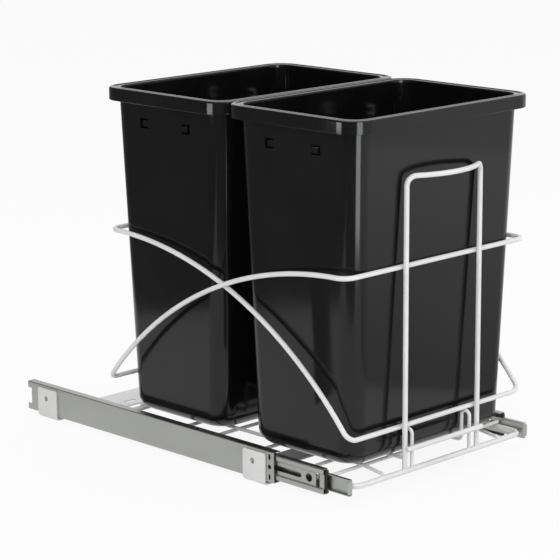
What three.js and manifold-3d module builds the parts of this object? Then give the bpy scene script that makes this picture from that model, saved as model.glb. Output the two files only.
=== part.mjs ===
// A double-bin pull-out waste unit for a kitchen cabinet, in millimetres, +Z up.
// +X is to the right, +Y goes back into the cabinet, and Z = 0 is the cabinet floor.
// The origin is the middle of the front floor bracket's underside.
// It is drawn partly pulled out: the middle rails and the carriage have run forward.
import * as THREE from 'three';
import { mergeVertices } from 'three/addons/utils/BufferGeometryUtils.js';
import Module from 'manifold-3d';

const wasm = await Module();
wasm.setup();

// ---------------------------------------------------------------- driving sizes

// Slides: each is an outer, a middle and an inner rail that run in one another on balls.
const widthOverSlides = 366;
const slideDepth = 12.7;
const slideSteel = 1.2;
const railLength = 503;
const rearStopRoom = 15;
const outerRailHeight = 42;
const middleRailHeight = 34;
const innerRailHeight = 22;
const middleRun = 86;
const carriageRun = 41;
const cageLength = 200;
const cageSetback = 150;
const cageSheet = 0.7;
const ballsInRow = 5;
const outerBall = 2.4;
const innerBall = 4.2;
const railClearance = 0.4;

// Floor brackets: pressed plates that lie on the cabinet floor under both slides.
const bracketSteel = 2;
const slideLift = 5.3;
const frontStripWidth = 41;
const rearStripWidth = 62;
const stripSetback = 78;
const rearStripFromEnd = 53;
const tabWidth = 41;
const tabHeight = 43;
const frontTabSetback = 14.7;
const rearTabFromEnd = 65.6;
const tabCornerRadius = 6.5;
const footWidth = 25;
const rivetDiameter = 7.6;
const rivetHeight = 28.4;
const rivetFromTabEdge = 24;
const screwSlotLength = 22;
const screwSlotWidth = 8;
const screwSlotFromMiddle = 46;

// Wire carriage.
const baseWire = 7.5;
const floorWire = 4.8;
const loopWire = 6.6;
const handleWire = 6.9;
const baseWireHeight = 24.8;
const baseWireSetback = 0.4;
const baseCornerRadius = 17;
const weldGap = 0.2;
const buttGap = 0.3;
const loopHighHeight = 293.6;
const loopLowHeight = 83.7;
const loopInsideRim = 2;
const loopHighRadius = 17;
const loopLowRadius = 14;
const loopLevelRun = 6;
const handleSpread = 142.6;
const handleHeight = 410.5;
const handleBow = 21.5;
const handleCornerRadius = 13;
const braceHeight = 55.8;
const braceOverhang = 3.5;
const sideWireSpread = 226;
const guideWireSpread = 114;
const guideHumpWidth = 13.4;
const middleHumpWidth = 44;
const humpRadius = 6.5;
const rearUprightOverlap = 4;
const crossWiresFromFront = [43, 86, 186];
const crossWiresFromRear = [189, 128, 20];

// Bins: two alike, each open at the top, with a turned-down rim.
const rimLength = 348;
const rimWidth = 236.4;
const rimCornerRadius = 32;
const rimHeight = 490.2;
const rimSkirt = 17.5;
const rimOverhangSide = 12.4;
const rimOverhangEnd = 11.9;
const rimEdgeRadius = 3;
const binWall = 2.3;
const binCornerRadius = 26;
const binDraftSide = 0.0264;
const binDraftEnd = 0.0361;
const binFloorRadius = 19;
const binGap = 1.2;
const binBehindLoop = 0.4;
const rearRimOverhang = 2.9;
const slitHeight = 14;
const slitReach = 16;
const slitWidth = 3.2;
const slitBacks = [-47, 50.5];
const slitDrop = 27.2;
const binSeatGap = 0.3;

// ---------------------------------------------------------------- worked-out places

const middleRailLength = railLength - rearStopRoom;
const rearTabSetback = railLength - rearTabFromEnd;
const slideOuterX = widthOverSlides / 2;
const slideInnerX = slideOuterX - slideDepth;
const slideMiddleZ = slideLift + outerRailHeight / 2;
const outerFrontY = -stripSetback;
const middleFrontY = outerFrontY - middleRun;
const innerFrontY = middleFrontY - carriageRun;
const baseFrontY = innerFrontY + baseWireSetback;
const loopOffset = (handleWire + loopWire) / 2 + weldGap;
const loopFrontY = baseFrontY + loopOffset;
const skirtFootZ = rimHeight - rimSkirt;
const wallInsetAtLoop = rimOverhangEnd + binDraftEnd * (skirtFootZ - loopHighHeight);
const frontRimY = loopFrontY + loopWire / 2 + binBehindLoop - wallInsetAtLoop;
const rearRimY = frontRimY + rimWidth + binGap;
const baseRearY = rearRimY + rimWidth - rearRimOverhang;
const loopRearY = baseRearY - loopOffset;
const baseSideX = slideInnerX - baseWire / 2 - weldGap;
const baseTopZ = baseWireHeight + baseWire / 2;
const crossWireZ = baseTopZ + weldGap + floorWire / 2;
const depthWireZ = crossWireZ + floorWire + weldGap;
const landedWireZ = baseTopZ + weldGap + floorWire / 2;
const humpTopZ = loopLowHeight - loopWire / 2 - weldGap - floorWire / 2;
const binFloorZ = depthWireZ + floorWire / 2 + binSeatGap;
const gapMiddleY = rearRimY - binGap / 2;

// ---------------------------------------------------------------- shape tools

function merged(geometry) {
  const bare = geometry.index ? geometry.toNonIndexed() : geometry.clone();
  bare.deleteAttribute('normal');
  bare.deleteAttribute('uv');
  return mergeVertices(bare, 1e-4);
}

function toSolid(geometry) {
  const closed = merged(geometry);
  const mesh = new wasm.Mesh({
    numProp: 3,
    vertProperties: new Float32Array(closed.attributes.position.array),
    triVerts: new Uint32Array(closed.index.array),
  });
  return new wasm.Manifold(mesh);
}

function toGeometry(solid) {
  const mesh = solid.getMesh();
  const geometry = new THREE.BufferGeometry();
  geometry.setAttribute('position', new THREE.BufferAttribute(mesh.vertProperties, 3));
  geometry.setIndex(new THREE.BufferAttribute(mesh.triVerts, 1));
  return geometry;
}

function cut(geometry, tools) {
  let solid = toSolid(geometry);
  for (const tool of tools) {
    solid = solid.subtract(toSolid(tool));
  }
  return toGeometry(solid);
}

function join(parts) {
  let solid = toSolid(parts[0]);
  for (const part of parts.slice(1)) {
    solid = solid.add(toSolid(part));
  }
  return toGeometry(solid);
}

// The same piece for the other side: X is turned round, and so is each triangle.
function mirrored(geometry) {
  const other = merged(geometry);
  other.scale(-1, 1, 1);
  const index = other.index.array;
  for (let i = 0; i < index.length; i += 3) {
    [index[i + 1], index[i + 2]] = [index[i + 2], index[i + 1]];
  }
  return other;
}

function outline(points) {
  return new THREE.Shape(points.map(([x, y]) => new THREE.Vector2(x, y)));
}

// A section drawn in X and Z, run along Y from y0 to y1.
function alongY(shape, y0, y1) {
  const geometry = new THREE.ExtrudeGeometry(shape, { depth: y1 - y0, bevelEnabled: false });
  geometry.rotateX(Math.PI / 2);
  geometry.translate(0, y1, 0);
  return geometry;
}

// A flat outline drawn in X and Y, from z0 up to z1.
function upward(shape, z0, z1) {
  const geometry = new THREE.ExtrudeGeometry(shape, {
    depth: z1 - z0,
    bevelEnabled: false,
    curveSegments: 6,
  });
  geometry.translate(0, 0, z0);
  return geometry;
}

// An outline drawn in Y and Z, from x0 across to x1.
function across(shape, x0, x1) {
  const geometry = new THREE.ExtrudeGeometry(shape, {
    depth: x1 - x0,
    bevelEnabled: false,
    curveSegments: 4,
  });
  geometry.rotateX(Math.PI / 2);
  geometry.rotateZ(Math.PI / 2);
  geometry.translate(x0, 0, 0);
  return geometry;
}

function block(x0, x1, y0, y1, z0, z1) {
  const geometry = new THREE.BoxGeometry(x1 - x0, y1 - y0, z1 - z0);
  geometry.translate((x0 + x1) / 2, (y0 + y1) / 2, (z0 + z1) / 2);
  return geometry;
}

// A round bar that lies across X.
function pinAcross(diameter, x0, x1, y, z, sides = 16) {
  const geometry = new THREE.CylinderGeometry(diameter / 2, diameter / 2, x1 - x0, sides);
  geometry.rotateZ(Math.PI / 2);
  geometry.translate((x0 + x1) / 2, y, z);
  return geometry;
}

// The section of a channel, mirrored about its middle height: the upper half is given.
function channel(upperHalf) {
  const lowerHalf = upperHalf.map(([x, z]) => [x, -z]).reverse();
  return outline([...upperHalf, ...lowerHalf]);
}

// A wire's middle line: straight runs between its corners, with each corner turned to a radius.
class BentWire extends THREE.Curve {
  constructor(corners, radii) {
    super();
    this.line = [corners[0].clone()];
    for (let i = 1; i < corners.length - 1; i += 1) {
      const before = corners[i - 1].clone().sub(corners[i]).normalize();
      const after = corners[i + 1].clone().sub(corners[i]).normalize();
      const turn = Math.PI - before.angleTo(after);
      if (radii[i] === 0 || turn < 1e-6) {
        this.line.push(corners[i].clone());
        continue;
      }
      const reach = radii[i] * Math.tan(turn / 2);
      const middle = before.clone().add(after).normalize();
      const centre = middle.multiplyScalar(radii[i] / Math.cos(turn / 2)).add(corners[i]);
      const start = before.multiplyScalar(reach).add(corners[i]).sub(centre);
      const end = after.multiplyScalar(reach).add(corners[i]).sub(centre);
      const turnStep = radii[i] < 10 ? Math.PI / 6 : Math.PI / 10;
      const steps = Math.ceil(turn / turnStep);
      for (let k = 0; k <= steps; k += 1) {
        const part = k / steps;
        const a = Math.sin((1 - part) * turn) / Math.sin(turn);
        const b = Math.sin(part * turn) / Math.sin(turn);
        const spoke = start.clone().multiplyScalar(a).addScaledVector(end, b);
        this.line.push(spoke.add(centre));
      }
    }
    this.line.push(corners[corners.length - 1].clone());
  }

  getUtoTmapping(u) {
    return u;
  }

  getPoint(t) {
    const place = Math.min(Math.max(t, 0), 1) * (this.line.length - 1);
    const i = Math.min(Math.floor(place), this.line.length - 2);
    return this.line[i].clone().lerp(this.line[i + 1], place - i);
  }

  getTangent(t) {
    const last = this.line.length - 1;
    const i = Math.round(Math.min(Math.max(t, 0), 1) * last);
    const into = this.line[i].clone().sub(this.line[Math.max(i - 1, 0)]).normalize();
    const out = this.line[Math.min(i + 1, last)].clone().sub(this.line[i]).normalize();
    return into.add(out).normalize();
  }
}

function wire(diameter, corners, radii, sides = 8) {
  const path = new BentWire(corners, radii);
  const section = new THREE.Shape();
  const points = [];
  for (let k = 0; k < sides; k += 1) {
    const angle = (2 * Math.PI * (k + 0.5)) / sides;
    points.push(new THREE.Vector2(Math.cos(angle), Math.sin(angle)).multiplyScalar(diameter / 2));
  }
  section.setFromPoints(points);
  return new THREE.ExtrudeGeometry(section, {
    steps: path.line.length - 1,
    extrudePath: path,
    bevelEnabled: false,
  });
}

function at(x, y, z) {
  return new THREE.Vector3(x, y, z);
}

// ---------------------------------------------------------------- finishes

const zincSteel = { color: 0x9a9c96, roughness: 0.38, metalness: 0.85 };
const whiteSteel = { color: 0xdfe1df, roughness: 0.45, metalness: 0.05 };
const whiteWire = { color: 0xe6e8e6, roughness: 0.35, metalness: 0.0 };
const blackPlastic = { color: 0x17181a, roughness: 0.18, metalness: 0.0 };
const darkRubber = { color: 0x1b1b1c, roughness: 0.7, metalness: 0.0 };
const ballSteel = { color: 0x6d6f6c, roughness: 0.3, metalness: 0.9 };

const unit = new THREE.Group();

function place(parent, name, geometry, finish, position = at(0, 0, 0)) {
  const shown = geometry.clone();
  shown.computeVertexNormals();
  const mesh = new THREE.Mesh(shown, new THREE.MeshStandardMaterial(finish));
  mesh.name = name;
  mesh.position.copy(position);
  parent.add(mesh);
}

// ---------------------------------------------------------------- slide rails
// Each rail is drawn for the left slide: X = 0 is the outer face of the outer rail, Y = 0 is
// the rail's own front end and Z = 0 is the slide's middle height.

const sides = [
  { name: 'left', turn: (geometry) => geometry, x: -slideOuterX },
  { name: 'right', turn: mirrored, x: slideOuterX },
];

const flangeOuter = outerRailHeight / 2;
const flangeMiddle = middleRailHeight / 2;
const flangeInner = innerRailHeight / 2;
const outerCageSheet = slideSteel + railClearance;
const middleBandX = outerCageSheet + cageSheet + railClearance;
const middleWebX = middleBandX + 1.7;
const innerCageX = middleWebX + slideSteel + railClearance + 0.1;
const innerFlangeX = innerCageX + cageSheet + railClearance;
const lipDrop = 1.2;
const bendRadius = 1.4;

function outerRail() {
  const section = channel([
    [0, 0],
    [0, flangeOuter - bendRadius],
    [0.4, flangeOuter - 0.4],
    [bendRadius, flangeOuter],
    [slideDepth - 1, flangeOuter],
    [slideDepth, flangeOuter - 1],
    [slideDepth, flangeOuter - slideSteel - lipDrop],
    [slideDepth - slideSteel, flangeOuter - slideSteel - lipDrop],
    [slideDepth - slideSteel, flangeOuter - slideSteel],
    [slideSteel + 0.9, flangeOuter - slideSteel],
    [slideSteel, flangeOuter - slideSteel - 0.9],
    [slideSteel, 0],
  ]);
  const rail = alongY(section, 0, railLength);
  const holeY = 8;
  const holeSize = 6;
  const punchWidth = 3.5;
  const punchHeight = 7;
  const punchMiddle = 13.6;
  const notchDepth = 8;
  const notchHalf = 11.6;
  const tools = [pinAcross(holeSize, -1, slideSteel + 1, holeY, 0)];
  for (const side of [-1, 1]) {
    const middle = side * punchMiddle;
    tools.push(block(
      -1, slideSteel + 1,
      holeY - punchWidth / 2, holeY + punchWidth / 2,
      middle - punchHeight / 2, middle + punchHeight / 2,
    ));
  }
  tools.push(block(
    -1, slideSteel + 0.5,
    railLength - notchDepth, railLength + 1,
    -notchHalf, notchHalf,
  ));
  for (const setback of [frontTabSetback, rearTabSetback]) {
    const hole = rivetDiameter + 2 * weldGap;
    const height = rivetHeight - slideMiddleZ;
    tools.push(pinAcross(hole, -1, slideSteel + 1, setback + rivetFromTabEdge, height));
  }
  return cut(rail, tools);
}

function middleRail() {
  const bandEdge = 9.4;
  const section = channel([
    [middleWebX, 0],
    [middleWebX, bandEdge - 0.8],
    [middleBandX, bandEdge + 0.8],
    [middleBandX, flangeMiddle - bendRadius],
    [middleBandX + bendRadius, flangeMiddle],
    [slideDepth - slideSteel - 0.5, flangeMiddle],
    [slideDepth - slideSteel - 0.5, flangeMiddle - slideSteel - 0.8],
    [slideDepth - slideSteel - 1.3, flangeMiddle - slideSteel - 0.8],
    [slideDepth - slideSteel - 1.3, flangeMiddle - slideSteel],
    [middleBandX + slideSteel + 0.8, flangeMiddle - slideSteel],
    [middleBandX + slideSteel, flangeMiddle - slideSteel - 0.8],
    [middleBandX + slideSteel, bandEdge + 1.3],
    [middleWebX + slideSteel, bandEdge - 0.3],
    [middleWebX + slideSteel, 0],
  ]);
  const rail = alongY(section, 0, middleRailLength);
  const webIn = middleBandX - 1;
  const webOut = middleWebX + slideSteel + 0.4;
  const slotFront = 44;
  const slotRear = 104;
  const slotHeight = 7;
  const holeY = 27;
  const holeSize = 11.2;
  const punchFront = 8;
  const punchWidth = 6.5;
  const punchHalf = 9.6;
  const rearHoleFromEnd = 48;
  const tools = [
    pinAcross(holeSize, webIn, webOut, holeY, 0, 20),
    pinAcross(slotHeight, webIn, webOut, slotFront, 0),
    pinAcross(slotHeight, webIn, webOut, slotRear, 0),
    block(webIn, webOut, slotFront, slotRear, -slotHeight / 2, slotHeight / 2),
    block(webIn, webOut, punchFront, punchFront + punchWidth, -punchHalf, punchHalf),
    pinAcross(slotHeight, webIn, webOut, middleRailLength - rearHoleFromEnd, 0),
  ];
  return cut(rail, tools);
}

function innerRail() {
  const webX = slideDepth - slideSteel;
  const section = channel([
    [webX, 0],
    [webX, flangeInner - slideSteel - 0.6],
    [webX - 0.6, flangeInner - slideSteel],
    [innerFlangeX, flangeInner - slideSteel],
    [innerFlangeX, flangeInner],
    [slideDepth - 1.2, flangeInner],
    [slideDepth - 0.3, flangeInner - 0.3],
    [slideDepth, flangeInner - 1.2],
    [slideDepth, 0],
  ]);
  const rail = alongY(section, 0, railLength);
  const tabReach = 8;
  const tabHalf = flangeInner - slideSteel - 1;
  const chamfer = 2;
  const tabShape = outline([
    [slideDepth - tabReach, -tabHalf + chamfer],
    [slideDepth - tabReach, tabHalf - chamfer],
    [slideDepth - tabReach + chamfer, tabHalf],
    [slideDepth - 0.2, tabHalf],
    [slideDepth - 0.2, -tabHalf],
    [slideDepth - tabReach + chamfer, -tabHalf],
  ]);
  const tab = alongY(tabShape, 0, slideSteel);
  const screwFromEnd = 60;
  const screwSize = 4.5;
  const screwHeight = 4.6;
  const screwHoles = [screwFromEnd, railLength / 2, railLength - screwFromEnd].map((y) => (
    pinAcross(screwSize, webX - 1, slideDepth + 1, y, screwHeight)
  ));
  return cut(join([rail, tab]), screwHoles);
}

// A ball cage: a thin channel with a row of balls held in each flange.
function ballCage(webX, flangeZ, flangeEnd, ballX, ball) {
  const half = cageSheet / 2;
  const section = channel([
    [webX, 0],
    [webX, flangeZ + half],
    [flangeEnd, flangeZ + half],
    [flangeEnd, flangeZ - half],
    [webX + cageSheet, flangeZ - half],
    [webX + cageSheet, 0],
  ]);
  const parts = [alongY(section, 0, cageLength)];
  const pitch = (cageLength - 20) / (ballsInRow - 1);
  for (const side of [-1, 1]) {
    for (let k = 0; k < ballsInRow; k += 1) {
      const sphere = new THREE.SphereGeometry(ball / 2, 6, 4);
      sphere.translate(ballX, 10 + k * pitch, side * flangeZ);
      parts.push(sphere);
    }
  }
  return join(parts);
}

const outerBallZ = (flangeOuter - slideSteel + flangeMiddle) / 2;
const innerBallZ = (flangeMiddle - slideSteel + flangeInner) / 2;

// A black plastic stop clipped in the front end of the middle rail.
function middleBumper() {
  const inFrom = 3;
  const length = 12;
  const section = channel([
    [innerCageX - 0.1, 0],
    [innerCageX - 0.1, innerBallZ + 1.9],
    [slideDepth - slideSteel - 1.6, innerBallZ + 1.9],
    [slideDepth - slideSteel - 1.6, flangeInner + 0.3],
    [innerFlangeX - 0.2, flangeInner + 0.3],
    [innerFlangeX - 0.2, 0],
  ]);
  return alongY(section, -inFrom, length - inFrom);
}

// A rubber block in the back end of the outer rail, which the middle rail shuts against.
function rearBumper() {
  const half = 10.4;
  const shape = outline([
    [slideSteel + 0.1, -half],
    [slideSteel + 0.1, half],
    [innerFlangeX - 0.6, half - 1.5],
    [innerFlangeX - 0.6, -half + 1.5],
  ]);
  return alongY(shape, middleRailLength + 1.2, railLength - 7);
}

const cageTravelled = middleRun / 2;
const innerCageTravelled = carriageRun / 2;
const slides = new THREE.Group();
slides.position.set(0, 0, slideMiddleZ);
unit.add(slides);

const outerCage = ballCage(
  outerCageSheet, outerBallZ, slideDepth - slideSteel - 2, (slideDepth + slideSteel) / 2, outerBall,
);
const innerCage = ballCage(
  innerCageX, innerBallZ, slideDepth - slideSteel - 1.2, innerCageX + innerBall / 2 + 0.3, innerBall,
);
const railSet = [
  ['outer_rail', outerRail(), zincSteel, outerFrontY],
  ['middle_rail', middleRail(), zincSteel, middleFrontY],
  ['inner_rail', innerRail(), zincSteel, innerFrontY],
  ['outer_ball_cage', outerCage, ballSteel, outerFrontY + cageSetback - cageTravelled],
  ['inner_ball_cage', innerCage, ballSteel, middleFrontY + cageSetback - innerCageTravelled],
  ['middle_bumper', middleBumper(), blackPlastic, middleFrontY],
  ['rear_bumper', rearBumper(), darkRubber, outerFrontY],
];
for (const side of sides) {
  for (const [name, geometry, finish, frontY] of railSet) {
    place(slides, `${side.name}_${name}`, side.turn(geometry), finish, at(side.x, frontY, 0));
  }
}

// ---------------------------------------------------------------- floor brackets
// A strip across the floor, a foot under each slide and a tab bent up outside each slide.

function floorBracket(stripMiddle, stripWidth, tabSetback, slotsAt) {
  const stripFront = outerFrontY + stripMiddle - stripWidth / 2;
  const stripRear = stripFront + stripWidth;
  const tabFront = outerFrontY + tabSetback;
  const tabRear = tabFront + tabWidth;
  const outX = slideOuterX + bracketSteel;
  const bend = 2 * bracketSteel;
  const relief = 2;
  const footX = slideOuterX - relief - footWidth;
  const overFront = Math.min(stripFront, tabFront);
  const overRear = Math.max(stripRear, tabRear);
  const plate = outline([
    [-footX, stripFront],
    [-footX, overFront],
    [-slideInnerX, overFront],
    [-slideInnerX, tabFront],
    [-outX + bend, tabFront],
    [-outX + bend, tabRear - tabCornerRadius],
    [-slideInnerX, tabRear - tabCornerRadius],
    [-slideInnerX, overRear],
    [-footX, overRear],
    [-footX, stripRear],
    [footX, stripRear],
    [footX, overRear],
    [slideInnerX, overRear],
    [slideInnerX, tabRear - tabCornerRadius],
    [outX - bend, tabRear - tabCornerRadius],
    [outX - bend, tabFront],
    [slideInnerX, tabFront],
    [slideInnerX, overFront],
    [footX, overFront],
    [footX, stripFront],
  ].filter(([x, y], i, all) => i === 0 || x !== all[i - 1][0] || y !== all[i - 1][1]));
  const slots = [];
  for (const middleX of slotsAt) {
    const half = (screwSlotLength - screwSlotWidth) / 2;
    const slotY = stripFront + stripWidth * 0.28;
    const shape = new THREE.Shape();
    const r = screwSlotWidth / 2;
    shape.absarc(middleX - half, slotY, r, Math.PI / 2, 1.5 * Math.PI, false);
    shape.absarc(middleX + half, slotY, r, -Math.PI / 2, Math.PI / 2, false);
    slots.push(upward(shape, -1, bracketSteel + 1));
  }
  const parts = [upward(plate, 0, bracketSteel)];
  for (const side of sides) {
    const profile = new THREE.Shape();
    profile.moveTo(bend + 1, 0);
    profile.lineTo(bend, 0);
    profile.absarc(bend, bend, bend, -Math.PI / 2, -Math.PI, true);
    profile.lineTo(0, tabHeight);
    profile.lineTo(bracketSteel, tabHeight);
    profile.lineTo(bracketSteel, bend);
    profile.absarc(bend, bend, bend - bracketSteel, Math.PI, 1.5 * Math.PI, false);
    profile.lineTo(bend + 1, bracketSteel);
    const upturn = new THREE.ExtrudeGeometry(profile, {
      depth: tabWidth,
      bevelEnabled: false,
      curveSegments: 3,
    });
    upturn.rotateX(Math.PI / 2);
    upturn.translate(0, tabRear, 0);
    const tab = new THREE.Shape();
    const round = tabCornerRadius;
    const nick = 2;
    tab.moveTo(tabFront, -1);
    tab.lineTo(tabRear - round, -1);
    tab.lineTo(tabRear - round, 0);
    tab.absarc(tabRear - round, round, round, -Math.PI / 2, 0, false);
    tab.lineTo(tabRear, tabHeight - nick);
    tab.lineTo(tabRear - nick, tabHeight);
    tab.lineTo(tabFront + nick, tabHeight);
    tab.lineTo(tabFront, tabHeight - nick);
    const keep = toSolid(across(tab, -1, bend + 2));
    const hole = rivetDiameter + 2 * weldGap;
    const holeTool = pinAcross(hole, -1, bracketSteel + 1, tabFront + rivetFromTabEdge, rivetHeight);
    const shaped = toGeometry(toSolid(upturn).intersect(keep).subtract(toSolid(holeTool)));
    shaped.translate(-outX, 0, 0);
    parts.push(side.turn(shaped));
  }
  return cut(join(parts), slots);
}

const floor = new THREE.Group();
unit.add(floor);
const slotX = screwSlotFromMiddle;
place(
  floor, 'front_floor_bracket',
  floorBracket(stripSetback, frontStripWidth, frontTabSetback, [-slotX / 2, slotX / 2]), whiteSteel,
);
place(
  floor, 'rear_floor_bracket',
  floorBracket(railLength - rearStripFromEnd, rearStripWidth, rearTabSetback, [-slotX, slotX]), whiteSteel,
);

// A clinched rivet through each tab and outer rail, sunk a little into the tab.
const rivetSunk = 1;
const rivet = pinAcross(rivetDiameter, -bracketSteel + rivetSunk, slideSteel, 0, 0);
for (const side of sides) {
  for (const [end, setback] of [['front', frontTabSetback], ['rear', rearTabSetback]]) {
    const seat = at(side.x, outerFrontY + setback + rivetFromTabEdge, rivetHeight);
    place(floor, `${side.name}_${end}_rivet`, side.turn(rivet), zincSteel, seat);
  }
}

// ---------------------------------------------------------------- wire carriage

const carriage = new THREE.Group();
unit.add(carriage);

// The base wire is one closed ring, butt-welded in the middle of its back run.
function baseRing() {
  const z = baseWireHeight;
  const x = baseSideX;
  const corners = [
    at(buttGap / 2, baseRearY, z),
    at(x, baseRearY, z),
    at(x, baseFrontY, z),
    at(-x, baseFrontY, z),
    at(-x, baseRearY, z),
    at(-buttGap / 2, baseRearY, z),
  ];
  const r = baseCornerRadius;
  return wire(baseWire, corners, [0, r, r, r, r, 0], 10);
}
place(carriage, 'base_wire', baseRing(), whiteWire);

const crossWirePlaces = [
  ...crossWiresFromFront.map((setback) => innerFrontY + setback),
  ...crossWiresFromRear.map((setback) => baseRearY - setback),
];
crossWirePlaces.forEach((y, i) => {
  const half = slideInnerX - weldGap - 1.5;
  const straight = wire(floorWire, [at(-half, y, crossWireZ), at(half, y, crossWireZ)], [0, 0]);
  place(carriage, `cross_wire_${i + 1}`, straight, whiteWire);
});

// The outer depth wires lie over the cross wires and bend down on to the base wire at both ends.
function sideWire(x) {
  const firstY = crossWirePlaces[0];
  const lastY = crossWirePlaces[crossWirePlaces.length - 1];
  const corners = [
    at(x, baseFrontY - 1.5, landedWireZ),
    at(x, baseFrontY + 3, landedWireZ),
    at(x, firstY - 3, depthWireZ),
    at(x, lastY + 3, depthWireZ),
    at(x, baseRearY - 3, landedWireZ),
    at(x, baseRearY + 1.5, landedWireZ),
  ];
  const gentle = 20;
  return wire(floorWire, corners, [0, gentle, gentle, gentle, gentle, 0]);
}

// The guide wires stand up in a hump before, between and behind the bins, to keep them in place.
function guideWire(x) {
  const legZ = baseTopZ + weldGap;
  const frontY = baseFrontY + 0.5;
  const rearY = baseRearY - 0.5;
  const corners = [
    at(x, frontY, legZ),
    at(x, frontY, humpTopZ),
    at(x, frontY + guideHumpWidth, humpTopZ),
    at(x, frontY + guideHumpWidth, depthWireZ),
    at(x, gapMiddleY - middleHumpWidth / 2, depthWireZ),
    at(x, gapMiddleY - middleHumpWidth / 2, humpTopZ),
    at(x, gapMiddleY + middleHumpWidth / 2, humpTopZ),
    at(x, gapMiddleY + middleHumpWidth / 2, depthWireZ),
    at(x, rearY - guideHumpWidth, depthWireZ),
    at(x, rearY - guideHumpWidth, humpTopZ),
    at(x, rearY, humpTopZ),
    at(x, rearY, legZ),
  ];
  const radii = corners.map((corner, i) => (i === 0 || i === corners.length - 1 ? 0 : humpRadius));
  return wire(floorWire, corners, radii);
}
for (const [name, sign] of [['left', -1], ['right', 1]]) {
  const outerX = (sign * sideWireSpread) / 2;
  const innerX = (sign * guideWireSpread) / 2;
  place(carriage, `${name}_side_wire`, sideWire(outerX), whiteWire);
  place(carriage, `${name}_guide_wire`, guideWire(innerX), whiteWire);
}

// Each guard loop is high at one end, sweeps down both sides in an arc and is low at the other.
// highY and lowY are its two end runs, and halfWidth is half its width between wire middles.
function guardLoop(highY, lowY, halfWidth) {
  const way = Math.sign(lowY - highY);
  const reach = Math.abs(lowY - highY) - loopLevelRun;
  const drop = loopHighHeight - loopLowHeight;
  const sweepRadius = (reach * reach + drop * drop) / (2 * drop);
  const arcStart = highY + way * loopLevelRun;
  const pieces = 9;
  const side = [];
  for (let k = 1; k < pieces; k += 1) {
    const along = (reach * k) / pieces;
    const fall = sweepRadius - Math.sqrt(sweepRadius * sweepRadius - along * along);
    side.push([arcStart + way * along, loopHighHeight - fall]);
  }
  const corners = [at(buttGap / 2, highY, loopHighHeight), at(halfWidth, highY, loopHighHeight)];
  for (const [y, z] of side) {
    corners.push(at(halfWidth, y, z));
  }
  corners.push(at(halfWidth, lowY, loopLowHeight));
  corners.push(at(-halfWidth, lowY, loopLowHeight));
  for (const [y, z] of side.reverse()) {
    corners.push(at(-halfWidth, y, z));
  }
  corners.push(at(-halfWidth, highY, loopHighHeight));
  corners.push(at(-buttGap / 2, highY, loopHighHeight));
  const radii = corners.map((corner) => {
    if (Math.abs(corner.x) < halfWidth) return 0;
    if (corner.y === highY) return loopHighRadius;
    return corner.y === lowY ? loopLowRadius : 0;
  });
  return wire(loopWire, corners, radii);
}
const loopSpread = (loopWire + weldGap) / 2;
const halfLoop = rimLength / 2 - loopInsideRim;
place(carriage, 'front_high_loop', guardLoop(loopFrontY, loopRearY, halfLoop + loopSpread), whiteWire);
place(carriage, 'rear_high_loop', guardLoop(loopRearY, loopFrontY, halfLoop - loopSpread), whiteWire);

// The handle: two legs standing on the base wire, joined by a bar that bows forward.
function pullHandle() {
  const x = handleSpread / 2;
  const y = baseFrontY;
  const foot = baseTopZ + weldGap;
  const top = handleHeight;
  const apex = 1.86 * handleBow;
  const legToApex = Math.hypot(x, apex);
  const bowTurn = 2 * Math.atan2(apex, x);
  const bowRadius = (0.84 * legToApex) / Math.tan(bowTurn / 2);
  const corners = [
    at(-x, y, foot),
    at(-x, y, top),
    at(0, y - apex, top),
    at(x, y, top),
    at(x, y, foot),
  ];
  const r = handleCornerRadius;
  const path = [0, r, bowRadius, r, 0];
  return wire(handleWire, corners, path, 10);
}
place(carriage, 'pull_handle', pullHandle(), whiteWire);

// A short wire welded across the front of the handle's legs.
const braceY = baseFrontY - (handleWire + loopWire) / 2 - weldGap;
const braceHalf = handleSpread / 2 + braceOverhang;
const braceEnds = [at(-braceHalf, braceY, braceHeight), at(braceHalf, braceY, braceHeight)];
const brace = wire(loopWire, braceEnds, [0, 0]);
place(carriage, 'handle_brace_wire', brace, whiteWire);

// Two uprights carry the back runs of both loops from the base wire.
for (const [name, sign] of [['left', -1], ['right', 1]]) {
  const x = (sign * handleSpread) / 2;
  const foot = at(x, baseRearY, baseTopZ + weldGap);
  const top = at(x, baseRearY, loopHighHeight + rearUprightOverlap);
  place(carriage, `${name}_rear_upright`, wire(handleWire, [foot, top], [0, 0]), whiteWire);
}

// ---------------------------------------------------------------- bins
// A bin is drawn about the middle of its underside. Its wall follows the inside and the outside
// as rings of points round a rounded rectangle, each ring at its own inset and height.

const binHeight = rimHeight - binFloorZ;

function ringOf([insetX, insetY], z, radius, cornerSteps = 5) {
  const halfX = rimLength / 2 - insetX;
  const halfY = rimWidth / 2 - insetY;
  const points = [];
  for (let quarter = 0; quarter < 4; quarter += 1) {
    const signX = quarter === 0 || quarter === 3 ? 1 : -1;
    const signY = quarter < 2 ? 1 : -1;
    for (let k = 0; k <= cornerSteps; k += 1) {
      const angle = (quarter + k / cornerSteps) * (Math.PI / 2);
      points.push(at(
        signX * (halfX - radius) + radius * Math.cos(angle),
        signY * (halfY - radius) + radius * Math.sin(angle),
        z,
      ));
    }
  }
  return points;
}

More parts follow.
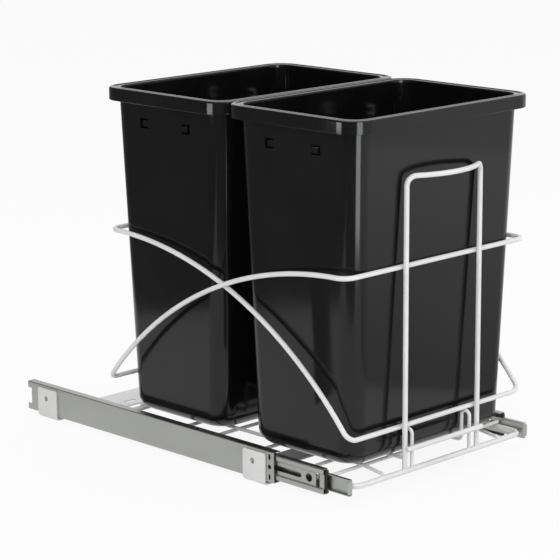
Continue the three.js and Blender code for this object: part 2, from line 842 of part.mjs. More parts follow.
function lofted(rings) {
  const count = rings[0].length;
  const positions = [];
  const faces = [];
  for (const ring of rings) {
    for (const point of ring) positions.push(point.x, point.y, point.z);
  }
  for (let r = 0; r < rings.length - 1; r += 1) {
    for (let k = 0; k < count; k += 1) {
      const a = r * count + k;
      const b = r * count + ((k + 1) % count);
      faces.push(a, b, b + count, a, b + count, a + count);
    }
  }
  const lastStart = (rings.length - 1) * count;
  for (const [ring, start, flip] of [[rings[0], 0, true], [rings.at(-1), lastStart, false]]) {
    const middle = positions.length / 3;
    positions.push(0, 0, ring[0].z);
    for (let k = 0; k < count; k += 1) {
      const a = start + k;
      const b = start + ((k + 1) % count);
      faces.push(...(flip ? [middle, b, a] : [middle, a, b]));
    }
  }
  const geometry = new THREE.BufferGeometry();
  geometry.setAttribute('position', new THREE.Float32BufferAttribute(positions, 3));
  geometry.setIndex(faces);
  return geometry;
}

function wasteBin() {
  const skirtFoot = binHeight - rimSkirt;
  const underRim = binHeight - binWall;
  const deeper = ([x, y], extra) => [x + extra, y + extra];
  const outside = (z) => [
    rimOverhangSide + binDraftSide * (skirtFoot - z),
    rimOverhangEnd + binDraftEnd * (skirtFoot - z),
  ];
  const inside = (z) => deeper(outside(z), binWall);
  const outerRadius = binCornerRadius;
  const innerRadius = binCornerRadius - binWall;
  const skirtRadius = rimCornerRadius - binWall;
  const rings = [];
  const floorSteps = 4;
  for (let k = 0; k <= floorSteps; k += 1) {
    const angle = (k / floorSteps) * (Math.PI / 2);
    const z = binFloorRadius * (1 - Math.cos(angle));
    rings.push(ringOf(deeper(outside(z), binFloorRadius * (1 - Math.sin(angle))), z, outerRadius));
  }
  rings.push(ringOf(outside(underRim), underRim, outerRadius));
  rings.push(ringOf([binWall, binWall], underRim, skirtRadius));
  rings.push(ringOf([binWall, binWall], skirtFoot, skirtRadius));
  rings.push(ringOf([0, 0], skirtFoot, rimCornerRadius));
  for (const part of [0, 0.5, 1]) {
    const angle = part * (Math.PI / 2);
    const pull = rimEdgeRadius * (1 - Math.cos(angle));
    const z = binHeight - rimEdgeRadius * (1 - Math.sin(angle));
    rings.push(ringOf([pull, pull], z, rimCornerRadius - pull));
  }
  rings.push(ringOf(deeper(inside(binHeight), -1), binHeight, innerRadius));
  rings.push(ringOf(inside(binHeight - 1), binHeight - 1, innerRadius));
  const floorInside = binFloorRadius - binWall;
  for (let k = floorSteps; k >= 0; k -= 1) {
    const angle = (k / floorSteps) * (Math.PI / 2);
    const z = binWall + floorInside * (1 - Math.cos(angle));
    rings.push(ringOf(deeper(inside(z), floorInside * (1 - Math.sin(angle))), z, innerRadius));
  }
  // Two U-shaped slits through each short side, their open ends facing each other.
  const slits = [];
  const slitZ = binHeight - rimSkirt - slitDrop;
  for (const end of [-1, 1]) {
    const wallX = end * (rimLength / 2 - outside(slitZ)[0]);
    const x0 = wallX - 4;
    const x1 = wallX + 4;
    for (const back of slitBacks) {
      const hand = Math.sign(back);
      const open = back - hand * slitReach;
      const backIn = back - hand * slitWidth;
      const z0 = slitZ - slitHeight / 2;
      const z1 = slitZ + slitHeight / 2;
      slits.push(block(x0, x1, Math.min(back, backIn), Math.max(back, backIn), z0, z1));
      for (const z of [z0, z1 - slitWidth]) {
        slits.push(block(x0, x1, Math.min(back, open), Math.max(back, open), z, z + slitWidth));
      }
    }
  }
  return cut(lofted(rings), slits);
}

const bin = wasteBin();
const bins = new THREE.Group();
bins.position.set(0, 0, binFloorZ);
unit.add(bins);
place(bins, 'front_bin', bin, blackPlastic, at(0, frontRimY + rimWidth / 2, 0));
place(bins, 'rear_bin', bin, blackPlastic, at(0, rearRimY + rimWidth / 2, 0));

export default unit;
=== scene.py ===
import math

import bpy
from mathutils import Matrix, Vector


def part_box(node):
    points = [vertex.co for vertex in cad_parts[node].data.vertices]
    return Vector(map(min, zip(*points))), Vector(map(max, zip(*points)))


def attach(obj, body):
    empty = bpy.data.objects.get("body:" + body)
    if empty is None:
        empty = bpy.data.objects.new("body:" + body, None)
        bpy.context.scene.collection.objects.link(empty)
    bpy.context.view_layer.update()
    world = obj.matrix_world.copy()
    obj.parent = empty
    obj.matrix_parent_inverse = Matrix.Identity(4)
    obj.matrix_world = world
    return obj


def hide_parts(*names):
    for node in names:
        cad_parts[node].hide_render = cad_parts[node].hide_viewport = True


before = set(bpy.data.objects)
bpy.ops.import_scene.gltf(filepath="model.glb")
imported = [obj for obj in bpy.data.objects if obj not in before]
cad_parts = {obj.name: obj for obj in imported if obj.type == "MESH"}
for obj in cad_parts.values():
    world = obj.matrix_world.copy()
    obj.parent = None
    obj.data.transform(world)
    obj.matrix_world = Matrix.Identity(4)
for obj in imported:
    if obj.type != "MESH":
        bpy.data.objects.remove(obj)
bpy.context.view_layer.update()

bpy.ops.object.select_all(action="DESELECT")


# ---- Bins ----------------------------------------------------------------------------------
# Two alike tall bins, each injection moulded in glossy black plastic in one piece: tapered
# walls 2.3 mm thick, a rounded floor, and a rim that is turned out and down as a skirt. The
# short sides have U-shaped slits moulded through them.
RIM_LENGTH = 0.348
RIM_WIDTH = 0.2364
RIM_CORNER = 0.032
RIM_TOP = 0.4902
RIM_SKIRT = 0.0175
RIM_EDGE = 0.0026
SKIRT_FOOT = RIM_TOP - RIM_SKIRT
BIN_CORNER = 0.026
BIN_FOOT = 0.03885
BIN_WALL = 0.0023
FOOT_ROUND = 0.019
END_OVERHANG = 0.0124
END_DRAFT = 0.0264
FACE_OVERHANG = 0.0119
FACE_DRAFT = 0.0361
BIN_MIDDLES = {"front_bin": -0.09412, "rear_bin": 0.14348}

SLIT_DROP = 0.0272
SLIT_INSET = 0.0131
SLIT_HEIGHT = 0.014
SLIT_REACH = 0.016
SLIT_BACK_WIDTH = 0.0048
SLIT_PRONG = 0.0034
SLIT_BACKS = ((-1, -0.0470), (1, 0.0505))
THROUGH_WALL = 0.012


class Value:
    """A number that varies over a surface, so that sums can be written with it."""

    def __init__(self, nodes, socket):
        self.nodes = nodes
        self.socket = socket

    def maths(self, operation, first, second):
        return self.nodes.node(
            "ShaderNodeMath", {"operation": operation}, {0: first, 1: second}
        )

    def __add__(self, other):
        return self.maths("ADD", self, other)

    __radd__ = __add__

    def __mul__(self, other):
        return self.maths("MULTIPLY", self, other)

    __rmul__ = __mul__

    def either(self, other):
        return self.maths("MAXIMUM", self, other)


class Nodes:
    """The shader nodes of a material or a world, each made and fed by one call."""

    def __init__(self, owner):
        owner.use_nodes = True
        self.tree = owner.node_tree

    def node(self, kind, settings=None, inputs=None, output=0):
        node = self.tree.nodes.new(kind)
        for key, value in (settings or {}).items():
            setattr(node, key, value)
        for key, value in (inputs or {}).items():
            self.feed(node.inputs[key], value)
        return Value(self, node.outputs[output]) if node.outputs else None

    def feed(self, socket, value):
        if isinstance(value, Value):
            self.tree.links.new(value.socket, socket)
        else:
            socket.default_value = value


class Paint(Nodes):
    """A surface finish. Its plain numbers go straight on the shader's sockets."""

    def __init__(self, name, **plain):
        self.material = bpy.data.materials.new(name)
        super().__init__(self.material)
        self.shader = self.tree.nodes["Principled BSDF"]
        for socket, value in plain.items():
            self.shader.inputs[socket.replace("_", " ")].default_value = value
        self.place = self.node("ShaderNodeTexCoord", output="Object")

    def grain(self, scale, stretch=(1, 1, 1), detail=3.0, rough=0.5):
        turned = self.node(
            "ShaderNodeMapping", inputs={"Vector": self.place, "Scale": stretch}
        )
        return self.node(
            "ShaderNodeTexNoise",
            inputs={"Vector": turned, "Scale": scale, "Detail": detail, "Roughness": rough},
        )

    def between(self, amount, low, high):
        return self.node(
            "ShaderNodeMix", {"data_type": "RGBA"},
            {"Factor": amount, "A": (*low, 1), "B": (*high, 1)}, output="Result",
        )

    def spread(self, amount, low, high):
        return self.node(
            "ShaderNodeMapRange", {},
            {"Value": amount, "From Min": low, "From Max": high},
        )

    def finish(self, colour, roughness, height, depth, strength):
        bump = self.node(
            "ShaderNodeBump", {},
            {"Strength": strength, "Distance": depth, "Height": height},
        )
        self.feed(self.shader.inputs["Base Color"], colour)
        self.feed(self.shader.inputs["Roughness"], roughness)
        self.feed(self.shader.inputs["Normal"], bump)
        return self.material


def select_only(piece):
    bpy.ops.object.select_all(action="DESELECT")
    piece.select_set(True)
    bpy.context.view_layer.objects.active = piece


def cut_away(piece, tool):
    """The tool's shape is taken out of the piece, and the tool is thrown away."""
    hole = piece.modifiers.new("hole", "BOOLEAN")
    hole.operation = "DIFFERENCE"
    hole.solver = "EXACT"
    hole.object = tool
    bpy.context.view_layer.objects.active = piece
    bpy.ops.object.modifier_apply(modifier=hole.name)
    bpy.data.objects.remove(tool)


def flat_walls(piece):
    """Wide faces keep their own normal, so that only the rounded edges blend."""
    weights = piece.modifiers.new("weights", "WEIGHTED_NORMAL")
    weights.mode = "FACE_AREA"
    weights.weight = 80
    weights.keep_sharp = True
    bpy.context.view_layer.objects.active = piece
    bpy.ops.object.modifier_apply(modifier=weights.name)


def dress(piece, material):
    piece.data.materials.clear()
    piece.data.materials.append(material)


def take_place(piece, node, body):
    """The finished piece is shown instead of its plain solid, and moves with its body."""
    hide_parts(node)
    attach(piece, body)


gloss = Paint(
    "glossy_black_plastic",
    IOR=1.46, Specular_IOR_Level=0.38, Specular_Tint=(0.96, 1.0, 0.95, 1),
)
cloud = gloss.spread(gloss.grain(9, detail=4), 0.35, 0.7)
specks = gloss.spread(gloss.grain(900, detail=2), 0.45, 0.75)
streaks = gloss.spread(gloss.grain(60, (6, 6, 0.5), detail=3), 0.55, 0.8)
sway = gloss.grain(14, (1, 1, 0.45), detail=1)
black_gloss = gloss.finish(
    gloss.between(cloud, (0.0036, 0.0038, 0.0037), (0.0060, 0.0062, 0.0060)),
    0.10 + 0.035 * cloud + 0.04 * specks + 0.05 * streaks,
    sway, depth=0.0012, strength=0.35,
)


def wall_profile():
    """Half sizes, height and corner of each ring, from the floor's outside to its inside."""
    rings = []
    inner_corner = BIN_CORNER - BIN_WALL
    skirt_corner = RIM_CORNER - BIN_WALL
    inner_round = FOOT_ROUND - BIN_WALL
    floor_inside = BIN_FOOT + BIN_WALL
    under_rim = RIM_TOP - BIN_WALL
    foot_steps = 8
    edge_steps = 5

    def wall_insets(z):
        drop = SKIRT_FOOT - z
        return END_OVERHANG + END_DRAFT * drop, FACE_OVERHANG + FACE_DRAFT * drop

    def ring(z, inset_x, inset_y, corner, extra=0.0):
        half_x = RIM_LENGTH / 2 - inset_x - extra
        half_y = RIM_WIDTH / 2 - inset_y - extra
        rings.append((half_x, half_y, z, corner))

    # Up the outside: the round of the foot, then the straight wall.
    for step in range(foot_steps + 1):
        turn = math.radians(90 * step / foot_steps)
        z = BIN_FOOT + FOOT_ROUND * (1 - math.cos(turn))
        ring(z, *wall_insets(z), BIN_CORNER, FOOT_ROUND * (1 - math.sin(turn)))
    for z in (BIN_FOOT + FOOT_ROUND + 0.002, under_rim - 0.004):
        ring(z, *wall_insets(z), BIN_CORNER)

    # Out under the rim, with a small round at the wall and at the skirt, and down to its foot.
    for drop, extra in ((0.0016, 0.0), (0.0005, -0.0004), (0.0, -0.0014)):
        ring(under_rim - drop, *wall_insets(under_rim - drop), BIN_CORNER, extra)
    for inset, drop in ((0.0035, 0.0), (0.0025, 0.0005), (BIN_WALL, 0.0016)):
        ring(under_rim - drop, inset, inset, skirt_corner)
    ring(SKIRT_FOOT + 0.0005, BIN_WALL, BIN_WALL, skirt_corner)
    ring(SKIRT_FOOT, BIN_WALL - 0.0005, BIN_WALL - 0.0005, skirt_corner)

    # Up the skirt's outside and over the rounded edge at the top.
    ring(SKIRT_FOOT, 0.0005, 0.0005, RIM_CORNER)
    ring(SKIRT_FOOT + 0.0005, 0, 0, RIM_CORNER)
    for step in range(edge_steps + 1):
        turn = math.radians(90 * step / edge_steps)
        pull = RIM_EDGE * (1 - math.cos(turn))
        ring(RIM_TOP - RIM_EDGE * (1 - math.sin(turn)), pull, pull, RIM_CORNER - pull)

    # Across the shallow groove in the rim, and round its inner edge.
    for inset, drop in ((0.0042, 0.0), (0.0052, 0.0009), (0.0090, 0.0009), (0.0100, 0.0003)):
        ring(RIM_TOP - drop, inset, inset, RIM_CORNER - 0.6 * inset)
    for short, drop in ((0.0014, 0.0003), (0.0004, 0.0007), (0.0, 0.0016)):
        ring(RIM_TOP - drop, *wall_insets(RIM_TOP), inner_corner, BIN_WALL - short)

    # Down the inside to the floor.
    for z in (RIM_TOP - 0.005, floor_inside + inner_round + 0.002):
        ring(z, *wall_insets(z), inner_corner, BIN_WALL)
    for step in range(foot_steps, -1, -1):
        turn = math.radians(90 * step / foot_steps)
        z = floor_inside + inner_round * (1 - math.cos(turn))
        extra = BIN_WALL + inner_round * (1 - math.sin(turn))
        ring(z, *wall_insets(z), inner_corner, extra)
    return rings


def mould_bin(name, middle_y):
    """One corner of the bin is raised ring by ring, and mirrored across both middles."""
    rings = wall_profile()
    half_x, half_y, z, corner = rings[0]
    past_middle = 0.09
    bpy.ops.mesh.primitive_plane_add(size=1, location=(0, 0, 0))
    piece = bpy.context.object
    piece.name = name
    bpy.ops.object.mode_set(mode="EDIT")
    bpy.ops.transform.resize(value=(half_x + past_middle, half_y + past_middle, 1))
    shift = ((half_x - past_middle) / 2, (half_y - past_middle) / 2, z)
    bpy.ops.transform.translate(value=shift)
    bpy.ops.mesh.bevel(offset=corner, segments=16, affect="VERTICES")
    for next_x, next_y, next_z, next_corner in rings[1:]:
        step = (next_x - half_x, next_y - half_y, next_z - z)
        bpy.ops.mesh.extrude_region_move(TRANSFORM_OT_translate={"value": step})
        share = next_corner / corner
        bpy.ops.transform.resize(
            value=(share, share, 1), center_override=(next_x, next_y, next_z)
        )
        half_x, half_y, z, corner = next_x, next_y, next_z, next_corner
    bpy.ops.object.mode_set(mode="OBJECT")
    halves = piece.modifiers.new("halves", "MIRROR")
    halves.use_axis = (True, True, False)
    halves.use_bisect_axis = (True, True, False)
    halves.merge_threshold = 0.00001
    bpy.ops.object.modifier_apply(modifier=halves.name)
    bpy.ops.object.mode_set(mode="EDIT")
    bpy.ops.mesh.select_all(action="SELECT")
    bpy.ops.mesh.remove_doubles(threshold=0.000001)
    bpy.ops.mesh.normals_make_consistent(inside=False)
    bpy.ops.transform.translate(value=(0, middle_y, 0))
    bpy.ops.object.mode_set(mode="OBJECT")
    return piece


def slit_strokes(end, hand, back_y):
    """Middle and size of the back and the two prongs of one U."""
    slit_x = end * (RIM_LENGTH / 2 - SLIT_INSET)
    slit_z = SKIRT_FOOT - SLIT_DROP
    middle_y = back_y - hand * SLIT_BACK_WIDTH / 2
    prong_y = back_y - hand * SLIT_REACH / 2
    prong_z = (SLIT_HEIGHT - SLIT_PRONG) / 2
    back_size = (THROUGH_WALL, SLIT_BACK_WIDTH, SLIT_HEIGHT)
    prong_size = (THROUGH_WALL, SLIT_REACH, SLIT_PRONG)
    return (
        ((slit_x, middle_y, slit_z), back_size),
        ((slit_x, prong_y, slit_z + prong_z), prong_size),
        ((slit_x, prong_y, slit_z - prong_z), prong_size),
    )


def cut_slits(piece, middle_y):
    """U-shaped slits, their open sides facing each other, through both short sides."""
    tools = []
    for end in (-1, 1):
        for hand, back in SLIT_BACKS:
            for centre, size in slit_strokes(end, hand, middle_y + back):
                bpy.ops.mesh.primitive_cube_add(size=1, location=centre, scale=size)
                tools.append(bpy.context.object)
                bpy.ops.object.transform_apply(location=True, rotation=True, scale=True)
    for tool in tools:
        cut_away(piece, tool)


for bin_name, bin_middle in BIN_MIDDLES.items():
    bin_piece = mould_bin("moulded_" + bin_name, bin_middle)
    cut_slits(bin_piece, bin_middle)
    select_only(bin_piece)
    bpy.ops.object.shade_smooth_by_angle(angle=math.radians(34))
    flat_walls(bin_piece)
    dress(bin_piece, black_gloss)
    take_place(bin_piece, bin_name, bin_name)


# ---- Wire carriage -------------------------------------------------------------------------
# Round steel wires, bent cold, spot welded where they cross and powder coated white together:
# a thick ring at the foot, thinner wires over it, two guard loops and a pull handle.
BASE_WIRE = 0.0075
FLOOR_WIRE = 0.0048
LOOP_WIRE = 0.0066
HANDLE_WIRE = 0.0069

BASE_FRONT = -0.2046
BASE_REAR = 0.25878
BASE_SIDE = 0.16635
BASE_Z = 0.0248
BASE_CORNER = 0.017
WELD_Z = BASE_Z + 0.002

CROSS_Z = 0.03115
CROSS_HALF = 0.1686
CROSS_FROM_REAR = (0.189, 0.128, 0.020)
CROSS_WIRES = (-0.162, -0.119, -0.019, *(BASE_REAR - back for back in CROSS_FROM_REAR))

DEPTH_Z = 0.03615
SIDE_WIRE_X = 0.113
SIDE_WIRE_FRONT = -0.165
SIDE_WIRE_REAR = 0.241
SIDE_WIRE_BEND = 0.02
GUIDE_WIRE_X = 0.057
HUMP_Z = 0.0778
HUMP_WIDTH = 0.0134
HUMP_CORNER = 0.0065
BIN_GAP_MIDDLE = 0.02468
GAP_HUMP_HALF = 0.022

LOOP_FRONT = -0.19765
LOOP_REAR = 0.25183
LOOP_HIGH = 0.2936
LOOP_LOW = 0.0837
LOOP_HIGH_CORNER = 0.017
LOOP_LOW_CORNER = 0.014
LOOP_LEVEL_RUN = 0.006
OUTER_LOOP_HALF = 0.1754
INNER_LOOP_HALF = 0.1686

HANDLE_X = 0.0713
HANDLE_TOP = 0.4105
HANDLE_CORNER = 0.013
HANDLE_BOW = 0.0399
HANDLE_BOW_SHARE = 0.84
UPRIGHT_TOP = LOOP_HIGH + 0.004
BRACE_HALF = 0.0748
BRACE_Y = BASE_FRONT - 0.00695
BRACE_Z = 0.0558

coat = Paint("white_powder_coat", IOR=1.5, Specular_IOR_Level=0.4)
tint = coat.spread(coat.grain(26, detail=3), 0.35, 0.7)
peel = coat.grain(1500, detail=2, rough=0.6)
rub = coat.spread(coat.grain(340, (1, 1, 0.4), detail=4), 0.62, 0.8)
white_coat = coat.finish(
    coat.between(tint, (0.790, 0.795, 0.795), (0.845, 0.848, 0.845)),
    0.38 + 0.07 * tint + 0.08 * rub,
    peel, depth=0.00008, strength=0.5,
)


def bend(corners, radii, turn_step=math.radians(7.5)):
    """The middle line of a wire: straight runs, with each corner turned to its radius."""
    line = [Vector(corners[0])]
    for index in range(1, len(corners) - 1):
        corner = Vector(corners[index])
        before = (Vector(corners[index - 1]) - corner).normalized()
        after = (Vector(corners[index + 1]) - corner).normalized()
        turn = math.pi - before.angle(after)
        radius = radii[index]
        if radius == 0 or turn < 1e-5:
            line.append(corner)
            continue
        reach = radius * math.tan(turn / 2)
        centre = corner + (before + after).normalized() * (radius / math.cos(turn / 2))
        start = corner + before * reach - centre
        end = corner + after * reach - centre
        steps = max(2, math.ceil(turn / turn_step))
        for step in range(steps + 1):
            part = step / steps
            near = math.sin((1 - part) * turn) / math.sin(turn)
            far = math.sin(part * turn) / math.sin(turn)
            line.append(centre + start * near + end * far)
    line.append(Vector(corners[-1]))
    return line


def ring_line(corners, radii):
    """The line of a closed ring, from the middle of the run before its first corner."""
    middle = (Vector(corners[0]) + Vector(corners[-1])) / 2
    return bend([middle, *corners, middle], [0, *radii, 0])[:-1]


def ease_end(tip, inward, diameter):
    """Points just inside a cut end, each with its share of the wire's thickness."""
    run = (inward - tip).normalized() * diameter
    eased = ((0, 0.62), (0.06, 0.84), (0.2, 0.97), (0.36, 1.0))
    return [(tip + run * reach, thickness) for reach, thickness in eased]


def wire_along(name, line, diameter, closed, round_ends):
    points = [(place, 1.0) for place in line]
    if round_ends:
        first = ease_end(line[0], line[1], diameter)
        last = ease_end(line[-1], line[-2], diameter)
        points = first + points[1:-1] + last[::-1]
    curve = bpy.data.curves.new(name, "CURVE")
    curve.dimensions = "3D"
    curve.bevel_depth = diameter / 2
    curve.bevel_resolution = 5
    curve.use_fill_caps = True
    spline = curve.splines.new("POLY")
    spline.points.add(len(points) - 1)
    for spot, (place, thickness) in zip(spline.points, points):
        spot.co = (*place, 1)
        spot.radius = thickness
    spline.use_cyclic_u = closed
    piece = bpy.data.objects.new(name, curve)
    bpy.context.scene.collection.objects.link(piece)
    select_only(piece)
    bpy.ops.object.convert(target="MESH")
    bpy.ops.object.shade_smooth_by_angle(angle=math.radians(45))
    return bpy.context.object


def add_wire(node, line, diameter, closed=False, round_ends=False):
    piece = wire_along("coated_" + node, line, diameter, closed, round_ends)
    dress(piece, white_coat)
    take_place(piece, node, "carriage")


def across(half, y, z):
    """A straight wire from side to side."""
    return [Vector((-half, y, z)), Vector((half, y, z))]


def base_line():
    corners = [
        (BASE_SIDE, BASE_REAR, BASE_Z), (BASE_SIDE, BASE_FRONT, BASE_Z),
        (-BASE_SIDE, BASE_FRONT, BASE_Z), (-BASE_SIDE, BASE_REAR, BASE_Z),
    ]
    return ring_line(corners, [BASE_CORNER] * 4)


def side_line(x):
    """Level over the cross wires, with both ends stepped down on to the base wire."""
    past = 0.0015
    short = 0.003
    return bend(
        [
            (x, BASE_FRONT - past, CROSS_Z), (x, BASE_FRONT + short, CROSS_Z),
            (x, SIDE_WIRE_FRONT, DEPTH_Z), (x, SIDE_WIRE_REAR, DEPTH_Z),
            (x, BASE_REAR - short, CROSS_Z), (x, BASE_REAR + past, CROSS_Z),
        ],
        [0] + [SIDE_WIRE_BEND] * 4 + [0],
    )


def guide_line(x):
    """Humps before, between and behind the bins, that keep them in their places."""
    inside_base = 0.0005
    front = BASE_FRONT + inside_base
    rear = BASE_REAR - inside_base
    gap_front = BIN_GAP_MIDDLE - GAP_HUMP_HALF
    gap_rear = BIN_GAP_MIDDLE + GAP_HUMP_HALF
    return bend(
        [
            (x, front, WELD_Z), (x, front, HUMP_Z),
            (x, front + HUMP_WIDTH, HUMP_Z), (x, front + HUMP_WIDTH, DEPTH_Z),
            (x, gap_front, DEPTH_Z), (x, gap_front, HUMP_Z),
            (x, gap_rear, HUMP_Z), (x, gap_rear, DEPTH_Z),
            (x, rear - HUMP_WIDTH, DEPTH_Z), (x, rear - HUMP_WIDTH, HUMP_Z),
            (x, rear, HUMP_Z), (x, rear, WELD_Z),
        ],
        [0] + [HUMP_CORNER] * 10 + [0],
    )


def upright_line(x):
    """Straight up behind the rear bin, to just over the loop that it carries."""
    return [Vector((x, BASE_REAR, WELD_Z)), Vector((x, BASE_REAR, UPRIGHT_TOP))]


def guard_line(high_y, low_y, half_width):
    """High at one end, swept down both sides in an arc, and low at the other end."""
    way = 1 if low_y > high_y else -1
    reach = abs(low_y - high_y) - LOOP_LEVEL_RUN
    drop = LOOP_HIGH - LOOP_LOW
    sweep = (reach * reach + drop * drop) / (2 * drop)
    clear_of_corners = 0.012
    side = []
    steps = 40
    for step in range(1, steps):
        along = reach * step / steps
        if clear_of_corners <= along <= reach - clear_of_corners:
            fall = sweep - math.sqrt(sweep * sweep - along * along)
            side.append((high_y + way * (LOOP_LEVEL_RUN + along), LOOP_HIGH - fall))
    corners = [
        (half_width, high_y, LOOP_HIGH),
        *((half_width, y, z) for y, z in side),
        (half_width, low_y, LOOP_LOW),
        (-half_width, low_y, LOOP_LOW),
        *((-half_width, y, z) for y, z in reversed(side)),
        (-half_width, high_y, LOOP_HIGH),
    ]
    half_radii = [LOOP_HIGH_CORNER] + [0] * len(side) + [LOOP_LOW_CORNER]
    return ring_line(corners, half_radii + half_radii[::-1])


def handle_line():
    """Up one leg, over a bar that bows forward, and down the other leg."""
    bow_turn = 2 * math.atan2(HANDLE_BOW, HANDLE_X)
    half_bar = math.hypot(HANDLE_X, HANDLE_BOW)
    bow_radius = HANDLE_BOW_SHARE * half_bar / math.tan(bow_turn / 2)
    return bend(
        [
            (-HANDLE_X, BASE_FRONT, WELD_Z), (-HANDLE_X, BASE_FRONT, HANDLE_TOP),
            (0, BASE_FRONT - HANDLE_BOW, HANDLE_TOP),
            (HANDLE_X, BASE_FRONT, HANDLE_TOP), (HANDLE_X, BASE_FRONT, WELD_Z),
        ],
        [0, HANDLE_CORNER, bow_radius, HANDLE_CORNER, 0], math.radians(5),
    )


add_wire("base_wire", base_line(), BASE_WIRE, closed=True)
for number, cross_y in enumerate(CROSS_WIRES, start=1):
    cross_line = across(CROSS_HALF, cross_y, CROSS_Z)
    add_wire(f"cross_wire_{number}", cross_line, FLOOR_WIRE, round_ends=True)
for hand, sign in (("left", -1), ("right", 1)):
    side = side_line(sign * SIDE_WIRE_X)
    upright = upright_line(sign * HANDLE_X)
    add_wire(f"{hand}_side_wire", side, FLOOR_WIRE, round_ends=True)
    add_wire(f"{hand}_guide_wire", guide_line(sign * GUIDE_WIRE_X), FLOOR_WIRE)
    add_wire(f"{hand}_rear_upright", upright, HANDLE_WIRE, round_ends=True)

front_high = guard_line(LOOP_FRONT, LOOP_REAR, OUTER_LOOP_HALF)
rear_high = guard_line(LOOP_REAR, LOOP_FRONT, INNER_LOOP_HALF)
add_wire("front_high_loop", front_high, LOOP_WIRE, closed=True)
add_wire("rear_high_loop", rear_high, LOOP_WIRE, closed=True)
add_wire("pull_handle", handle_line(), HANDLE_WIRE)
brace = across(BRACE_HALF, BRACE_Y, BRACE_Z)
add_wire("handle_brace_wire", brace, LOOP_WIRE, round_ends=True)


# ---- Slides --------------------------------------------------------------------------------
# Rolled steel channels with a bright zinc plating that has gone slightly dull, punched with
# holes and slots at the front ends, their pressed edges a little rounded. Ball cages of
# greased steel run between them.
RAIL_EDGE = 0.00022

zinc = Paint("zinc_plated_steel", Metallic=1.0)
drawn = zinc.spread(zinc.grain(120, (1, 0.02, 1), detail=5, rough=0.65), 0.3, 0.72)
dull = zinc.spread(zinc.grain(22, (1, 0.35, 1), detail=4), 0.35, 0.7)
spangle = zinc.spread(zinc.grain(420, (1, 0.5, 1), detail=2), 0.4, 0.75)
zinc_plate = zinc.finish(
    zinc.between(0.6 * dull + 0.4 * drawn, (0.345, 0.352, 0.330), (0.435, 0.443, 0.418)),
    0.27 + 0.10 * drawn + 0.08 * dull + 0.04 * spangle,
    drawn, depth=0.00004, strength=0.35,
)

dark_steel = Paint("greased_steel", Metallic=1.0)
smear = dark_steel.spread(dark_steel.grain(90, detail=4), 0.35, 0.7)
greased = dark_steel.finish(
    dark_steel.between(smear, (0.12, 0.12, 0.11), (0.28, 0.28, 0.27)),
    0.24 + 0.22 * smear, smear, depth=0.0001, strength=0.3,
)


def eased_copy(node, width, segments):
    """The same pressing with its sharp edges rounded over."""
    select_only(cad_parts[node])
    bpy.ops.object.duplicate()
    piece = bpy.context.object
    piece.name = "pressed_" + node
    piece.parent = None
    for key in list(piece.keys()):
        del piece[key]
    bpy.ops.object.mode_set(mode="EDIT")
    bpy.ops.mesh.select_all(action="SELECT")
    bpy.ops.mesh.remove_doubles(threshold=0.00001)
    bpy.ops.mesh.dissolve_limited(angle_limit=math.radians(1))
    bpy.ops.object.mode_set(mode="OBJECT")
    edge = piece.modifiers.new("edge", "BEVEL")
    edge.width = width
    edge.segments = segments
    edge.limit_method = "ANGLE"
    edge.angle_limit = math.radians(40)
    edge.use_clamp_overlap = True
    bpy.ops.object.modifier_apply(modifier=edge.name)
    bpy.ops.object.shade_smooth_by_angle(angle=math.radians(32))
    flat_walls(piece)
    return piece


for hand in ("left", "right"):
    members = (("outer", "base"), ("middle", f"{hand}_middle"), ("inner", "carriage"))
    for member, body in members:
        rail_name = f"{hand}_{member}_rail"
        rail = eased_copy(rail_name, RAIL_EDGE, 2)
        dress(rail, zinc_plate)
        take_place(rail, rail_name, body)
    for cage in ("outer", "inner"):
        dress(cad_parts[f"{hand}_{cage}_ball_cage"], greased)


# ---- Stops ---------------------------------------------------------------------------------
# A black plastic stop is clipped in the front of each middle rail, and a rubber block sits in
# the back of each outer rail.
matte = Paint("matte_black_plastic", IOR=1.46)
mottle = matte.spread(matte.grain(300, detail=3), 0.35, 0.7)
stop_black = matte.finish(
    matte.between(mottle, (0.012, 0.012, 0.012), (0.022, 0.022, 0.023)),
    0.42 + 0.14 * mottle, mottle, depth=0.0001, strength=0.4,
)
rubber = Paint("black_rubber", IOR=1.45)
bloom = rubber.spread(rubber.grain(160, detail=4), 0.3, 0.7)
stop_rubber = rubber.finish(
    rubber.between(bloom, (0.012, 0.012, 0.012), (0.030, 0.030, 0.029)),
    0.60 + 0.2 * bloom, bloom, depth=0.0001, strength=0.5,
)
for hand in ("left", "right"):
    dress(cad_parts[f"{hand}_middle_bumper"], stop_black)
    dress(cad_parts[f"{hand}_rear_bumper"], stop_rubber)


# ---- Floor brackets ------------------------------------------------------------------------
# Pressed steel plates, coated white like the wires: a strip across the cabinet floor, and a tab
# bent up outside each slide. A steel rivet is clinched in a dimple in each tab.
BRACKET_EDGE = 0.00035
DIMPLE_FACE_X = 0.1854
DIMPLE_MOUTH = 0.0054
DIMPLE_SEAT = 0.0037
DIMPLE_DEPTH = 0.0017
RIVET_RADIUS = 0.0038
RIVET_THICKNESS = 0.0022
RIVET_INSETS = ((0.0011, 0.0), (0.0003, -0.0004), (0.0009, -0.0004), (0.0006, 0.0003))


def rivet_place(node):
    """The middle of a rivet, and how far out its clinched face lies."""
    low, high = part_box(node)
    return (low + high) / 2, max(abs(low.x), abs(high.x))


